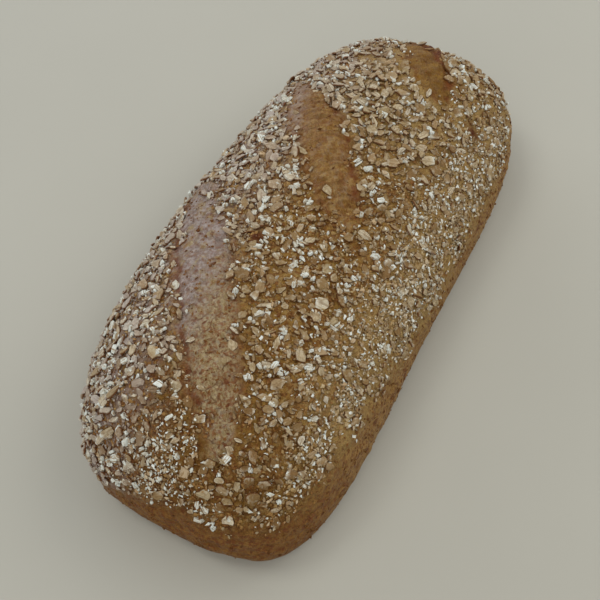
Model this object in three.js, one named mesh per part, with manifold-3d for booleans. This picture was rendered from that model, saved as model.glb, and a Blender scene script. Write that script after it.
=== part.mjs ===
// A wholemeal hearth loaf, baked without a tin: a long, low, slightly bowed loaf with a flat base and a domed
// top, three slanting cuts that opened in the oven, and bran flakes that stuck to the crust between them.
// Loaf and flakes are one solid. Millimetres, +Z up, the origin in the middle of the base, +X along the loaf.
import * as THREE from "three";
import { MeshSurfaceSampler } from "three/addons/math/MeshSurfaceSampler.js";
import { mergeVertices } from "three/addons/utils/BufferGeometryUtils.js";
import Module from "manifold-3d";

// Driving dimensions of the loaf
const LENGTH = 280;
const WIDTH = 127;
const HEIGHT = 65;

// How the loaf is shaped: powers of its rounded outlines, and where its sides and ends turn in
const NEAR_BLUNTNESS = 3.75;
const FAR_BLUNTNESS = 3.3;
const DOME_POWER = 2.3;
const END_RUN = 57;
const BULGE_HEIGHT = 0.2 * HEIGHT;
const CROWN_HEIGHT = 0.75 * HEIGHT;
const FOOT_SHARE = 0.955;
const FOOT_RUN = 5;

// The long axis bows to one side, and the crust is a little uneven
const BOW = 9.5;
const BOW_CENTRE = 0.05;
const SWELL_HEIGHT = 0.6;
const SWELL_RUN_X = 34;
const SWELL_RUN_Y = 25;

// Each cut has its middle, half length, half width where it gapes most, and slant from the long axis
const CUTS = [
  { x: -60, y: 17.5, reach: 69, gape: 12.5, slant: 34 },
  { x: 32.5, y: 11, reach: 50, gape: 13, slant: 39 },
  { x: 100.5, y: -11, reach: 27.5, gape: 10, slant: 41 },
];
const CUT_STEPS = 16;
const BLOOM_HEIGHT = 1.2;
const BLOOM_SPREAD = 1.7;
const GUTTER_DEPTH = 2.4;
const BED_DEPTH = 0.6;

// Bran flakes: only the largest are solids, on the top of the loaf, clear of the cuts and of each other
const FLAKE_COUNT = 108;
const FLAKE_LENGTH = [6.5, 9];
const FLAKE_WIDTH = [4.2, 5.8];
const FLAKE_PROUD = 1.1;
const FLAKE_ROOT = 1.3;
const FLAKE_SIDES = 7;
const FLAKE_UNEVEN = 0.28;
const FLAKE_TILT = 0.1;
const FLAKE_SPACING = 11.5;
const FLAKE_LOWEST = 33;
const CUT_CLEARANCE = 1.5;
const SEED = 41;

// How finely the loaf is divided
const STATIONS = 64;
const BASE_STEPS = 3;
const HEEL_STEPS = 3;
const DOME_STEPS = 14;
const OUTLINE_DIVISIONS = 2000;

const CRUST_COLOUR = 0x8a6233;
const CRUST_ROUGHNESS = 0.8;

const wasm = await Module();
wasm.setup();

// Repeatable random numbers from 0 to 1.
function seededRandom(seed) {
  let state = seed;
  return () => {
    state = (state + 0x6d2b79f5) | 0;
    let mixed = Math.imul(state ^ (state >>> 15), 1 | state);
    mixed = (mixed + Math.imul(mixed ^ (mixed >>> 7), 61 | mixed)) ^ mixed;
    return ((mixed ^ (mixed >>> 14)) >>> 0) / 2 ** 32;
  };
}

// The point, in the direction of a turn, of a rounded square of that power whose half size is 1.
function roundedPoint(turn, power) {
  const along = Math.cos(turn);
  const across = Math.sin(turn);
  const reach = (Math.abs(along) ** power + Math.abs(across) ** power) ** (-1 / power);
  return { along: along * reach, across: across * reach };
}

// How much height is left at a distance from the middle, where the last run of it rounds off to nothing.
function roundOff(distance, run, power) {
  const share = THREE.MathUtils.clamp((distance - LENGTH / 2 + run) / run, 0, 1);
  return (1 - share ** power) ** (1 / power);
}

// Half of the loaf's outline seen from above, at its widest level, from the near tip to the far tip.
class PlanOutline extends THREE.Curve {
  constructor() {
    super();
    this.arcLengthDivisions = OUTLINE_DIVISIONS;
  }
  getPoint(t, target = new THREE.Vector2()) {
    const { along, across } = roundedPoint(Math.PI * t, t < 0.5 ? NEAR_BLUNTNESS : FAR_BLUNTNESS);
    return target.set((-along * LENGTH) / 2, (across * WIDTH) / 2);
  }
}

// The dome of the cross-section, from the widest level up to the ridge, across and up from 0 to 1.
class DomeOutline extends THREE.Curve {
  getPoint(t, target = new THREE.Vector2()) {
    const { along, across } = roundedPoint((Math.PI / 2) * t, DOME_POWER);
    return target.set(along, across);
  }
}

// The closed cross-section: flat base, rounded heel and dome, and the same mirrored on the other side. Each point
// has its share of the foot's half width, its share of the overhang beyond it, and its level: -1 on the base, 0
// where the loaf is widest, 1 on the ridge.
function sectionPoints() {
  const base = new THREE.LineCurve(new THREE.Vector2(0, -1), new THREE.Vector2(1, -1));
  const heel = new THREE.EllipseCurve(0, 0, 1, 1, -Math.PI / 2, 0);
  const rising = [
    ...base.getSpacedPoints(BASE_STEPS).map(({ x, y }) => ({ foot: x, overhang: 0, level: y })),
    ...heel.getSpacedPoints(HEEL_STEPS).map(({ x, y }) => ({ foot: 1, overhang: x, level: y })).slice(1, -1),
    ...new DomeOutline().getSpacedPoints(DOME_STEPS).map(({ x, y }) => ({ foot: x, overhang: x, level: y })),
  ];
  const falling = rising.slice(1, -1).reverse();
  return [...rising, ...falling.map(({ foot, overhang, level }) => ({ foot: -foot, overhang: -overhang, level }))];
}

// Where a point lies in a cut: how open the cut is there, from 1 in its middle to 0 at its ends, how far the
// point is across it, and how far that is towards its edge, from 0 in the middle of its width to 1 there.
function cutPlace(cut, x, y) {
  const slant = THREE.MathUtils.degToRad(cut.slant);
  const along = (x - cut.x) * Math.cos(slant) + (y - cut.y) * Math.sin(slant);
  const across = (y - cut.y) * Math.cos(slant) - (x - cut.x) * Math.sin(slant);
  const openness = Math.max(0, 1 - (along / cut.reach) ** 2);
  const edge = openness > 0 ? Math.abs(across) / (cut.gape * Math.sqrt(openness)) : Infinity;
  return { openness, across, edge };
}

// The crust rises along a cut, highest in the middle, because the dough bloomed there.
function bloomAt(cut, x, y) {
  const { openness, across } = cutPlace(cut, x, y);
  return BLOOM_HEIGHT * openness * Math.exp(-((across / (BLOOM_SPREAD * cut.gape)) ** 2));
}

// Depth of the opened bed below the crust: little in the middle of a cut, most in the gutters along its edges.
function bedDepth(x, y) {
  const edge = Math.min(...CUTS.map((cut) => cutPlace(cut, x, y).edge), 1);
  return BED_DEPTH + (GUTTER_DEPTH - BED_DEPTH) * edge ** 2;
}

// Sideways shift of the bowed long axis.
function bowAt(x) {
  return BOW * (BOW_CENTRE - ((2 * x) / LENGTH) ** 2);
}

// Bows a point of the plain form, then moves it outwards by the bloom and the unevenness of the crust, or
// inwards to the bed of the cuts.
function shapeCrust(point, isBed) {
  point.y += bowAt(point.x);
  const { x, y, z } = point;
  const bloom = CUTS.reduce((sum, cut) => sum + bloomAt(cut, x, y), 0);
  const swell = SWELL_HEIGHT * Math.sin(x / SWELL_RUN_X) * Math.cos(y / SWELL_RUN_Y);
  const height = bloom + swell - (isBed ? bedDepth(x, y) : 0);
  const onTop = THREE.MathUtils.smoothstep(z, BULGE_HEIGHT, CROWN_HEIGHT);
  const inner = new THREE.Vector3(x * (1 - WIDTH / LENGTH), bowAt(x), BULGE_HEIGHT);
  const outwards = point.clone().sub(inner).normalize();
  return point.addScaledVector(outwards, onTop * height);
}

// Half width of the flat base at a place along the loaf: the plan outline drawn in at the sides and the ends.
function footAt(x) {
  const power = x < 0 ? NEAR_BLUNTNESS : FAR_BLUNTNESS;
  const share = Math.min(1, Math.abs(x) / (LENGTH / 2 - FOOT_RUN));
  return (FOOT_SHARE * (1 - share ** power) ** (1 / power) * WIDTH) / 2;
}

// A point of the loaf at a station along it, from a point of the cross-section.
function crustPoint(station, { foot, overhang, level }, isBed) {
  const footWidth = footAt(station.x);
  const y = foot * footWidth + overhang * (station.y - footWidth);
  const dome = (HEIGHT - BULGE_HEIGHT) * roundOff(Math.abs(station.x), END_RUN, DOME_POWER);
  const heel = BULGE_HEIGHT * roundOff(Math.abs(station.x), FOOT_RUN, 2);
  const z = BULGE_HEIGHT + level * (level > 0 ? dome : heel);
  return shapeCrust(new THREE.Vector3(station.x, y, z), isBed);
}

// The whole crust, or the whole bed under it: rings of cross-sections, closed by a fan at each end.
function crustGeometry(isBed) {
  const stations = new PlanOutline().getSpacedPoints(STATIONS);
  const section = sectionPoints();
  const around = section.length;
  const tip = { foot: 0, overhang: 0, level: 0 };
  const points = [crustPoint(stations[0], tip, isBed)];
  for (const station of stations.slice(1, -1)) {
    points.push(...section.map((sectionPoint) => crustPoint(station, sectionPoint, isBed)));
  }
  points.push(crustPoint(stations.at(-1), tip, isBed));

  const faces = [];
  const ringStart = (ring) => 1 + ring * around;
  const lastRing = stations.length - 3;
  for (let i = 0; i < around; i++) {
    const next = (i + 1) % around;
    faces.push(0, ringStart(0) + next, ringStart(0) + i);
    for (let ring = 0; ring < lastRing; ring++) {
      const near = ringStart(ring);
      const far = ringStart(ring + 1);
      faces.push(near + i, near + next, far + i);
      faces.push(near + next, far + next, far + i);
    }
    faces.push(points.length - 1, ringStart(lastRing) + i, ringStart(lastRing) + next);
  }
  const geometry = new THREE.BufferGeometry().setFromPoints(points).setIndex(faces);
  geometry.computeVertexNormals();
  return geometry;
}

// Everything above a cut: an upright prism of its long oval outline.
function cutPrism(cut) {
  const oval = new THREE.EllipseCurve(0, 0, cut.reach, cut.gape, 0, 2 * Math.PI);
  const outline = new THREE.Shape(oval.getPoints(2 * CUT_STEPS).slice(0, -1));
  const prism = new THREE.ExtrudeGeometry(outline, { depth: HEIGHT, bevelEnabled: false });
  return prism.rotateZ(THREE.MathUtils.degToRad(cut.slant)).translate(cut.x, cut.y, HEIGHT / 2);
}

// A bran flake lying on the XY plane: a flat plate with uneven corners, rooted below the plane.
function flakeGeometry(random) {
  const between = ([low, high]) => low + (high - low) * random();
  const corners = Array.from({ length: FLAKE_SIDES }, () => 1 - FLAKE_UNEVEN * random());
  const plate = new THREE.CylinderGeometry(1, 1, FLAKE_PROUD + FLAKE_ROOT, FLAKE_SIDES);
  plate.rotateX(Math.PI / 2).translate(0, 0, (FLAKE_PROUD - FLAKE_ROOT) / 2);
  const position = plate.getAttribute("position");
  for (let i = 0; i < position.count; i++) {
    const turn = Math.atan2(position.getY(i), position.getX(i)) / (2 * Math.PI);
    const corner = corners[Math.round((turn + 1) * FLAKE_SIDES) % FLAKE_SIDES];
    position.setXY(i, position.getX(i) * corner, position.getY(i) * corner);
  }
  return plate.scale(between(FLAKE_LENGTH) / 2, between(FLAKE_WIDTH) / 2, 1);
}

// Turns a flake any way round, tips it a little and lays it on the crust along the surface there.
function layFlake(flake, place, normal, random) {
  const facing = new THREE.Quaternion().setFromUnitVectors(new THREE.Vector3(0, 0, 1), normal);
  const tip = () => FLAKE_TILT * (random() - 0.5);
  const turned = new THREE.Euler(tip(), tip(), 2 * Math.PI * random());
  facing.multiply(new THREE.Quaternion().setFromEuler(turned));
  return flake.applyQuaternion(facing).translate(place.x, place.y, place.z);
}

// True where a point lies in a cut or too near its edge for a flake.
function nearCut(place) {
  return CUTS.some((cut) => cutPlace(cut, place.x, place.y).edge < CUT_CLEARANCE);
}

// Flakes spread evenly over the top of the crust, from places drawn at random and kept if they are clear.
function flakesOn(crust, random) {
  const sampler = new MeshSurfaceSampler(new THREE.Mesh(crust)).setRandomGenerator(random).build();
  const places = [];
  const laid = [];
  while (laid.length < FLAKE_COUNT) {
    const place = new THREE.Vector3();
    const normal = new THREE.Vector3();
    sampler.sample(place, normal);
    const crowded = places.some((other) => other.distanceTo(place) < FLAKE_SPACING);
    if (place.z < FLAKE_LOWEST || crowded || nearCut(place)) continue;
    places.push(place);
    laid.push(layFlake(flakeGeometry(random), place, normal, random));
  }
  return laid;
}

// A closed geometry as a solid that can be joined to others or cut by them.
function toSolid(geometry) {
  const bare = new THREE.BufferGeometry().setAttribute("position", geometry.getAttribute("position"));
  const merged = mergeVertices(bare.setIndex(geometry.getIndex()));
  return new wasm.Manifold(
    new wasm.Mesh({
      numProp: 3,
      vertProperties: new Float32Array(merged.getAttribute("position").array),
      triVerts: new Uint32Array(merged.getIndex().array),
    }),
  );
}

// A joined solid as a geometry again.
function toGeometry(solid) {
  const { vertProperties, triVerts } = solid.getMesh();
  const geometry = new THREE.BufferGeometry();
  geometry.setAttribute("position", new THREE.BufferAttribute(vertProperties, 3));
  geometry.setIndex(new THREE.BufferAttribute(triVerts, 1));
  geometry.computeVertexNormals();
  return geometry;
}

// The loaf: its crust with the cuts opened down to their beds and the flakes fused on.
function loafMesh() {
  const crust = crustGeometry(false);
  const bed = toSolid(crustGeometry(true));
  const opened = CUTS.map((cut) => toSolid(cutPrism(cut)).subtract(bed));
  const flakes = flakesOn(crust, seededRandom(SEED)).map(toSolid);
  const cutCrust = opened.reduce((loaf, opening) => loaf.subtract(opening), toSolid(crust));
  const solid = flakes.reduce((loaf, flake) => loaf.add(flake), cutCrust);
  const material = new THREE.MeshStandardMaterial({ color: CRUST_COLOUR, roughness: CRUST_ROUGHNESS, metalness: 0 });
  const loaf = new THREE.Mesh(toGeometry(solid), material);
  loaf.name = "loaf";
  return loaf;
}

const hearthLoaf = new THREE.Group();
hearthLoaf.add(loafMesh());

export default hearthLoaf;
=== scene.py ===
"""The looks of a wholemeal hearth loaf: its crust, and the bran flakes, cracked wheat and meal on it."""

import bpy
import numpy as np
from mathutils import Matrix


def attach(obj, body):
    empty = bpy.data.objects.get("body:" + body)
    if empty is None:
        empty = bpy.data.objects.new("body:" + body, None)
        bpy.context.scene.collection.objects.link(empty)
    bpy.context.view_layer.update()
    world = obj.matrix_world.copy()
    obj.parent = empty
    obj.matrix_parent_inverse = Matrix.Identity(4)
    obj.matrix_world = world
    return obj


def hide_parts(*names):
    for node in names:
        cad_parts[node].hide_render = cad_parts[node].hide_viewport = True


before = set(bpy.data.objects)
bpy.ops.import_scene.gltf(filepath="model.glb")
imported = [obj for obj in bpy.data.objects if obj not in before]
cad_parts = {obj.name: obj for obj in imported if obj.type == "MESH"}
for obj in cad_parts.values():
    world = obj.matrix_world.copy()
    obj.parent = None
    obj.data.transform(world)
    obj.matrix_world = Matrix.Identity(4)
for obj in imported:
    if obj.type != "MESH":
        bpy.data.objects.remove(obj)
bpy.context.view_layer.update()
MM = 0.001

# The loaf's form in millimetres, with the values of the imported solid
LENGTH = 280.0
WIDTH = 127.0
HEIGHT = 65.0
NEAR_BLUNTNESS = 3.75
FAR_BLUNTNESS = 3.3
DOME_POWER = 2.3
HEEL_POWER = 2.0
END_RUN = 57.0
BULGE_HEIGHT = 0.2 * HEIGHT
CROWN_HEIGHT = 0.75 * HEIGHT
FOOT_SHARE = 0.955
FOOT_RUN = 5.0
BOW = 9.5
BOW_CENTRE = 0.05
SWELL_HEIGHT = 0.6
SWELL_RUN_X = 34.0
SWELL_RUN_Y = 25.0

# Each cut: middle, half length, half width, slant in degrees, side of its deeper gutter, and how pale,
# flecked, browned and grey its bed is, the grey being flour film and painted sheen of window light, with
# the share along it where that grey starts, how far that leans to its left side, how much wider and longer
# than the oval the bed's colour spreads, and how far the coat closes in on its near and far ends
CUTS = [
    dict(x=-60.0, y=17.5, reach=69.0, gape=12.5, slant=34.0, deeper=1.0, pale=1.0, flecks=1.0, browned=0.0,
         film=1.0, film_and_sheen_start=-0.42, lean=0.35, wider=0.0, longer=1.08, closing=(-0.5, 0.5)),
    dict(x=32.5, y=11.0, reach=50.0, gape=13.0, slant=39.0, deeper=-1.0, pale=0.1, flecks=0.35, browned=0.3,
         film=0.5, film_and_sheen_start=0.3, lean=0.75, wider=-0.5, longer=1.06, closing=(2.0, 3.0)),
    dict(x=100.5, y=-11.0, reach=27.5, gape=10.0, slant=41.0, deeper=-1.0, pale=0.0, flecks=0.12, browned=0.9,
         film=0.05, film_and_sheen_start=0.0, lean=0.35, wider=0.3, longer=1.02, closing=(1.5, 4.0)),
]
BLOOM_HEIGHT = 1.2
BLOOM_SPREAD = 1.7
GUTTER_DEPTH = 1.5
GUTTER_POWER = 3
BED_DEPTH = 0.5
EDGE_RUN = 3.0
LIP_HEIGHT = 0.5
LIP_RUN = 1.6
RIM_INSET = 0.8
EVEN_SIDE = 0.7
DEEPER_SIDE = 0.3
SIDE_RUN = 4.0
CUT_END_RUN = (0.0, 0.3)
COLOUR_RUN = (3.0, -3.0)
# How the grey of flour film and painted sheen of window light fades in along a cut, and how much it hides the
# flecks
FILM_AND_SHEEN_RUN = 0.6
FILM_AND_SHEEN_HIDES_FLECKS = 0.45
OUT_OF_REACH = 99.0
LEAST_GAPE = 0.1

# Red-brown scorched spots with no coat, mostly on the lips of the cuts: x, y and spread
SCORCHED = [(122, -6, 7), (114, -13, 4.5), (79, -46, 4), (-30, 10, 4), (-96, -12, 4)]

# Where the sides, across the bowed axis, and the ends, along it, begin and are reached
SIDES = dict(left=(0.0, 38.0), right=(-28.0, -52.0))
ENDS = dict(near=(-75.0, -130.0), far=(10.0, 60.0))

# The coat's depth, its lower line on the sides, and how it fades out there, at the cuts and on scorched spots
COAT_DEPTH = 0.8
LINE_HEIGHT = 31.0
LINE_LEFT_DROP = 7.0
LINE_LEFT_RUN = (-10.0, 40.0)
LINE_NEAR_RISE = 1.5
LINE_NEAR_LEFT_DROP = 12.5
LINE_NEAR_RUN = (-90.0, -130.0)
LINE_FAR_RISE = 3.0
LINE_FAR_RUN = (80.0, 115.0)
SHOULDER_RISE = 6.5
SHOULDER_RUN = (-38.0, -55.0)
BELLY_DROP = 5.0
BELLY_X = 5.0
BELLY_REACH = 38.0
LINE_FADE = (-3.0, 6.0)
CUT_FADE = (-2.5, 3.0)
CLOSING_RUN = (0.5, 0.95)
SCORCH_FADE = (0.75, 0.3)
SCORCH_RAGGEDNESS = 0.1

# Smooth noise in layers: size, length of its waves and seed
LUMPS = [(0.3, 17.0, 1), (0.2, 7.0, 2), (0.16, 3.4, 3)]
CUT_RAGGEDNESS = [(0.7, 16.0, 21), (0.35, 6.0, 22)]
COAT_RAGGEDNESS = [(2.2, 11.0, 31), (1.6, 5.0, 33)]
LINE_RAGGEDNESS = [(2.0, 20.0, 32)]

# Where the crust's lumps and lower colours fade in above the base and below the coat, and shares of its golden
# tint lost there, of flecks under the coat and below it, and of grey dust with painted sheen of window light
# on the left side and lost below
BASE_RUN = (1.0, 14.0)
LOW_RUN = (4.0, -10.0)
GOLDEN_LOST_LOW = 0.48
COATED_FLECKS = 0.35
LOW_FLECKS = 0.6
LEFT_DUST_AND_SHEEN = 0.66
DUST_AND_SHEEN_LOST_LOW = 0.85

# How finely the crust is divided, and edge angles in degrees up to which pieces are smooth
STATIONS = 380
DOME_STEPS = 190
HEEL_STEPS = 9
BASE_STEPS = 7
OUTLINE_STEPS = 8001
CRUST_ANGLE = 180.0
FLAKE_ANGLE = 28.0
GRIT_ANGLE = 20.0


def smoothstep(low, high, value):
    """0 below low, 1 above high, and a smooth s-shaped rise between them."""
    share = np.clip((value - low) / (high - low), 0.0, 1.0)
    return share * share * (3.0 - 2.0 * share)


def waves(points, length, seed, count=16):
    """Smooth noise of about unit size: the sum of sine waves of about that length, each with a random
    direction and phase."""
    rng = np.random.default_rng(seed)
    direction = rng.normal(size=(count, 3))
    direction /= np.linalg.norm(direction, axis=1, keepdims=True)
    pace = 2.0 * np.pi / (length * rng.uniform(0.7, 1.4, count))
    angle = points @ (direction * pace[:, None]).T + rng.uniform(0.0, 2.0 * np.pi, count)
    return np.sin(angle).sum(-1) * np.sqrt(2.0 / count)


def layered(points, layers):
    """The sum of layers of smooth noise, each at its own size."""
    return sum(size * waves(points, length, seed) for size, length, seed in layers)


def unit(vectors):
    """Each vector at length 1."""
    return vectors / np.maximum(np.linalg.norm(vectors, axis=-1, keepdims=True), 1e-12)


def bell(points, x, y, reach):
    """1 at a place seen from above, falling as a bell in the distance from there."""
    return np.exp(-(np.hypot(points[..., 0] - x, points[..., 1] - y) / reach) ** 2)


def rounded(turn, power):
    """The point in the direction of a turn on a rounded square, where the powers of both coordinates add
    to 1."""
    along, across = np.cos(turn), np.sin(turn)
    reach = (np.abs(along) ** power + np.abs(across) ** power) ** (-1.0 / power)
    return along * reach, across * reach


def even_steps(across, up, steps):
    """The same curve as points at equal steps of its length."""
    length = np.concatenate([[0.0], np.cumsum(np.hypot(np.diff(across), np.diff(up)))])
    wanted = np.linspace(0.0, length[-1], steps + 1)
    return np.interp(wanted, length, across), np.interp(wanted, length, up)


def round_off(distance, run, power):
    """The height left at a distance from the middle: 1, then falling along a rounded corner over the last
    run."""
    share = np.clip((distance - LENGTH / 2 + run) / run, 0.0, 1.0)
    return (1.0 - share ** power) ** (1.0 / power)


def bow_at(x):
    """Sideways shift of the long axis: a parabola along the loaf."""
    return BOW * (BOW_CENTRE - (2.0 * x / LENGTH) ** 2)


def side(label, points):
    """From 0 on the middle of the loaf to 1 on its left or right side."""
    return smoothstep(*SIDES[label], points[..., 1] - bow_at(points[..., 0]))


def end(label, points):
    """From 0 on the middle of the loaf to 1 at its near end, where the colours are darker, or towards its far
    end.
    """
    return smoothstep(*ENDS[label], points[..., 0])


def stations():
    """Places along the loaf, at equal steps of its half outline seen from above, and the half widths there.
    The outline is a rounded rectangle with its own power at each end."""
    turn = np.linspace(0.0, np.pi, OUTLINE_STEPS)
    along, across = rounded(turn, np.where(turn < np.pi / 2, NEAR_BLUNTNESS, FAR_BLUNTNESS))
    return even_steps(-along * LENGTH / 2, across * WIDTH / 2, STATIONS)


def section_ring():
    """The closed cross-section as three rows: share of the foot's half width, share of the overhang beyond
    it, and level, which is -1 on the base, 0 where the loaf is widest and 1 on the ridge. The base is
    straight, the heel a quarter circle and the dome half of a rounded square."""
    across, up = rounded(np.linspace(0.0, np.pi, OUTLINE_STEPS), DOME_POWER)
    across, up = even_steps(across * WIDTH / 2, up * (HEIGHT - BULGE_HEIGHT), DOME_STEPS)
    dome = np.stack([across * 2 / WIDTH, across * 2 / WIDTH, up / (HEIGHT - BULGE_HEIGHT)])
    flat = np.linspace(0.0, 1.0, BASE_STEPS + 1)
    turn = np.linspace(0.0, np.pi / 2, HEEL_STEPS + 1)[1:-1]
    base = np.stack([flat, np.zeros_like(flat), -np.ones_like(flat)])
    heel = np.stack([np.ones_like(turn), np.sin(turn), -np.cos(turn)])
    mirror = np.array([[-1.0], [-1.0], [1.0]])
    return np.concatenate([base, heel, dome, mirror * heel[:, ::-1], mirror * base[:, :0:-1]], axis=1)


def cut_fields(cut, points):
    """A cut is a long oval. Returns the share of its reach along it, how open it is there, 1 less the square
    of that share, the distance across from its middle line, and the distances outwards from its uneven edge
    and from the edge of its colour, which is a wider and longer oval."""
    slant = np.radians(cut["slant"])
    dx, dy = points[..., 0] - cut["x"], points[..., 1] - cut["y"]
    along = (dx * np.cos(slant) + dy * np.sin(slant)) / cut["reach"]
    across = dy * np.cos(slant) - dx * np.sin(slant)
    ragged = layered(points, CUT_RAGGEDNESS)

    def outward(openness, gape):
        """Distance outwards from an oval, with a long way where the oval has ended."""
        return np.where(openness > 0.0, np.abs(across) - gape * np.sqrt(openness), OUT_OF_REACH) + ragged

    openness = np.clip(1.0 - along ** 2, 0.0, 1.0)
    opened = np.clip(1.0 - (along / cut["longer"]) ** 2, 0.0, 1.0)
    edge = outward(openness, cut["gape"])
    colour_edge = outward(opened, cut["gape"] + cut["wider"])
    return along, openness, across, edge, colour_edge


def cut_relief(cut, points):
    """Height of the crust at a cut: a bell-shaped bloom along it, less the bed inside its edge, which is
    deepest in the gutters, more so on one side, plus a low bell-shaped lip just outside the edge. Also
    returns masks from 0 to 1: inside the cut, near its edge, how grey with flour film and painted sheen
    of window light it is, and how flecked, pale and browned it is."""
    along, openness, across, edge, colour_edge = cut_fields(cut, points)
    strength = smoothstep(*CUT_END_RUN, openness)
    deeper = EVEN_SIDE + DEEPER_SIDE * np.tanh(cut["deeper"] * across / SIDE_RUN)
    inside = smoothstep(EDGE_RUN / 2, -EDGE_RUN / 2, edge) * strength
    share = np.abs(across) / np.maximum(cut["gape"] * np.sqrt(openness), LEAST_GAPE)
    share = np.clip(share, 0.0, 1.0)
    bed = BED_DEPTH + (GUTTER_DEPTH - BED_DEPTH) * share ** GUTTER_POWER * deeper
    bloom = BLOOM_HEIGHT * openness * np.exp(-(across / (BLOOM_SPREAD * cut["gape"])) ** 2)
    lip = LIP_HEIGHT * deeper * strength * np.exp(-((edge - LIP_RUN) / LIP_RUN) ** 2)
    around = smoothstep(*COLOUR_RUN, colour_edge)
    masks = {"opened": smoothstep(EDGE_RUN / 2, -EDGE_RUN / 2, colour_edge),
             "rim": strength * deeper * np.exp(-(colour_edge / LIP_RUN + RIM_INSET) ** 2)}
    leaning = along + cut["lean"] * across / cut["gape"]
    # The grey of flour film and painted sheen of window light, fading in along the cut from its start
    film = smoothstep(cut["film_and_sheen_start"], cut["film_and_sheen_start"] + FILM_AND_SHEEN_RUN, leaning)
    masks["film"] = cut["film"] * around * film
    for label in ("flecks", "pale", "browned"):
        masks[label] = cut[label] * around
    masks["flecks"] = masks["flecks"] * (1.0 - FILM_AND_SHEEN_HIDES_FLECKS * masks["film"])
    return bloom - inside * bed + lip, masks


def scorching(points):
    """From 0 to 1 in the middle of each scorched spot."""
    return np.max([bell(points, *spot) for spot in SCORCHED], axis=0)


def coat_line(points):
    """Height of the coat's lower line on the sides: lower on the left and at the near left, higher towards
    the far end and on the near right shoulder, and lower in a bell on the belly between."""
    left = smoothstep(*LINE_LEFT_RUN, points[..., 1])
    near = smoothstep(*LINE_NEAR_RUN, points[..., 0])
    far = smoothstep(*LINE_FAR_RUN, points[..., 0])
    shoulder = smoothstep(*SHOULDER_RUN, points[..., 0]) * (1.0 - near)
    belly = np.exp(-((points[..., 0] - BELLY_X) / BELLY_REACH) ** 2)
    line = LINE_HEIGHT - LINE_LEFT_DROP * left + near * (LINE_NEAR_RISE - LINE_NEAR_LEFT_DROP * left)
    return line + LINE_FAR_RISE * far + (SHOULDER_RISE * shoulder - BELLY_DROP * belly) * (1.0 - left)


def bareness(points):
    """1 where nothing sticks, inside the cuts, on scorched spots and below a ragged line on the sides, and 0
    on the covered top. The coat reaches a little way into the cuts, and further at their ends."""
    ragged = layered(points, COAT_RAGGEDNESS)
    clear = 1.0
    for cut in CUTS:
        along, _, _, _, edge = cut_fields(cut, points)
        closing = np.where(along < 0.0, *cut["closing"]) * smoothstep(*CLOSING_RUN, np.abs(along))
        clear = np.minimum(clear, smoothstep(*CUT_FADE, edge + closing + ragged))
    clear = np.minimum(clear, smoothstep(*SCORCH_FADE, scorching(points) + SCORCH_RAGGEDNESS * ragged))
    above_line = points[..., 2] - coat_line(points) + layered(points, LINE_RAGGEDNESS)
    return 1.0 - clear * smoothstep(*LINE_FADE, above_line)


def crust_grid():
    """The crust as rows of closed rings, one ring a station, and its masks. At each station the ring runs
    along the flat base, round the heel and over the dome, scaled by the foot width, half width and heights
    there, then bowed, and moved away from an inner axis by the cuts, the swell and fine lumps. The first and
    last rings are points."""
    x, half = stations()
    foot, overhang, level = section_ring()
    power = np.where(x < 0.0, NEAR_BLUNTNESS, FAR_BLUNTNESS)
    share = np.minimum(1.0, np.abs(x) / (LENGTH / 2 - FOOT_RUN))
    foot_half = FOOT_SHARE * (1.0 - share ** power) ** (1.0 / power) * WIDTH / 2
    dome = (HEIGHT - BULGE_HEIGHT) * round_off(np.abs(x), END_RUN, DOME_POWER)
    heel = BULGE_HEIGHT * round_off(np.abs(x), FOOT_RUN, HEEL_POWER)
    across = foot * foot_half[:, None] + overhang * (half - foot_half)[:, None] + bow_at(x)[:, None]
    up = BULGE_HEIGHT + level * np.where(level > 0.0, dome[:, None], heel[:, None])
    points = np.stack([np.broadcast_to(x[:, None], up.shape), across, up], axis=-1)

    on_top = smoothstep(BULGE_HEIGHT, CROWN_HEIGHT, points[..., 2])
    off_base = smoothstep(*BASE_RUN, points[..., 2])
    swell = SWELL_HEIGHT * np.sin(points[..., 0] / SWELL_RUN_X) * np.cos(points[..., 1] / SWELL_RUN_Y)
    reliefs = [cut_relief(cut, points) for cut in CUTS]
    height = swell + sum(relief for relief, _ in reliefs) - COAT_DEPTH * (1.0 - bareness(points))
    masks = {}
    for label in reliefs[0][1]:
        masks[label] = on_top * np.max([marks[label] for _, marks in reliefs], axis=0)
    masks["low"] = smoothstep(*LOW_RUN, points[..., 2] - coat_line(points))
    masks["dark"] = end("near", points)
    golden = (1.0 - masks["dark"]) * np.maximum(side("right", points), end("far", points))
    masks["golden"] = golden * (1.0 - GOLDEN_LOST_LOW * masks["low"])
    speckled = COATED_FLECKS * (1.0 - masks["opened"]) + LOW_FLECKS * masks["low"]
    masks["flecks"] = np.maximum(masks["flecks"], speckled)
    # Grey dust and painted sheen of window light on the left side, less low down
    dust_and_sheen = LEFT_DUST_AND_SHEEN * side("left", points) * (1.0 - masks["opened"])
    masks["film"] = np.maximum(masks["film"], dust_and_sheen * (1.0 - DUST_AND_SHEEN_LOST_LOW * masks["low"]))
    masks["scorched"] = on_top * scorching(points)
    fields = [cut_fields(cut, points) for cut in CUTS]
    nearest = np.argmin([field[4] for field in fields], axis=0)
    lengths = [field[0] * cut["reach"] for field, cut in zip(fields, CUTS)]
    masks["band_along"] = np.choose(nearest, lengths)
    masks["band_across"] = np.choose(nearest, [field[2] for field in fields])

    axis = np.stack([points[..., 0] * (1.0 - WIDTH / LENGTH), bow_at(points[..., 0]),
                     np.full(up.shape, BULGE_HEIGHT)], axis=-1)
    moved = on_top * height + off_base * layered(points, LUMPS)
    points = points + unit(points - axis) * moved[..., None]
    points[0] = points[0, 0]
    points[-1] = points[-1, 0]
    return points, masks


def grid_normals(points):
    """Outward normals of the ring grid: the cross product of the steps around the rings and along the
    rows."""
    around = np.roll(points, -1, axis=1) - np.roll(points, 1, axis=1)
    along = np.gradient(points, axis=0)
    return unit(np.cross(around, along))


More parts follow.
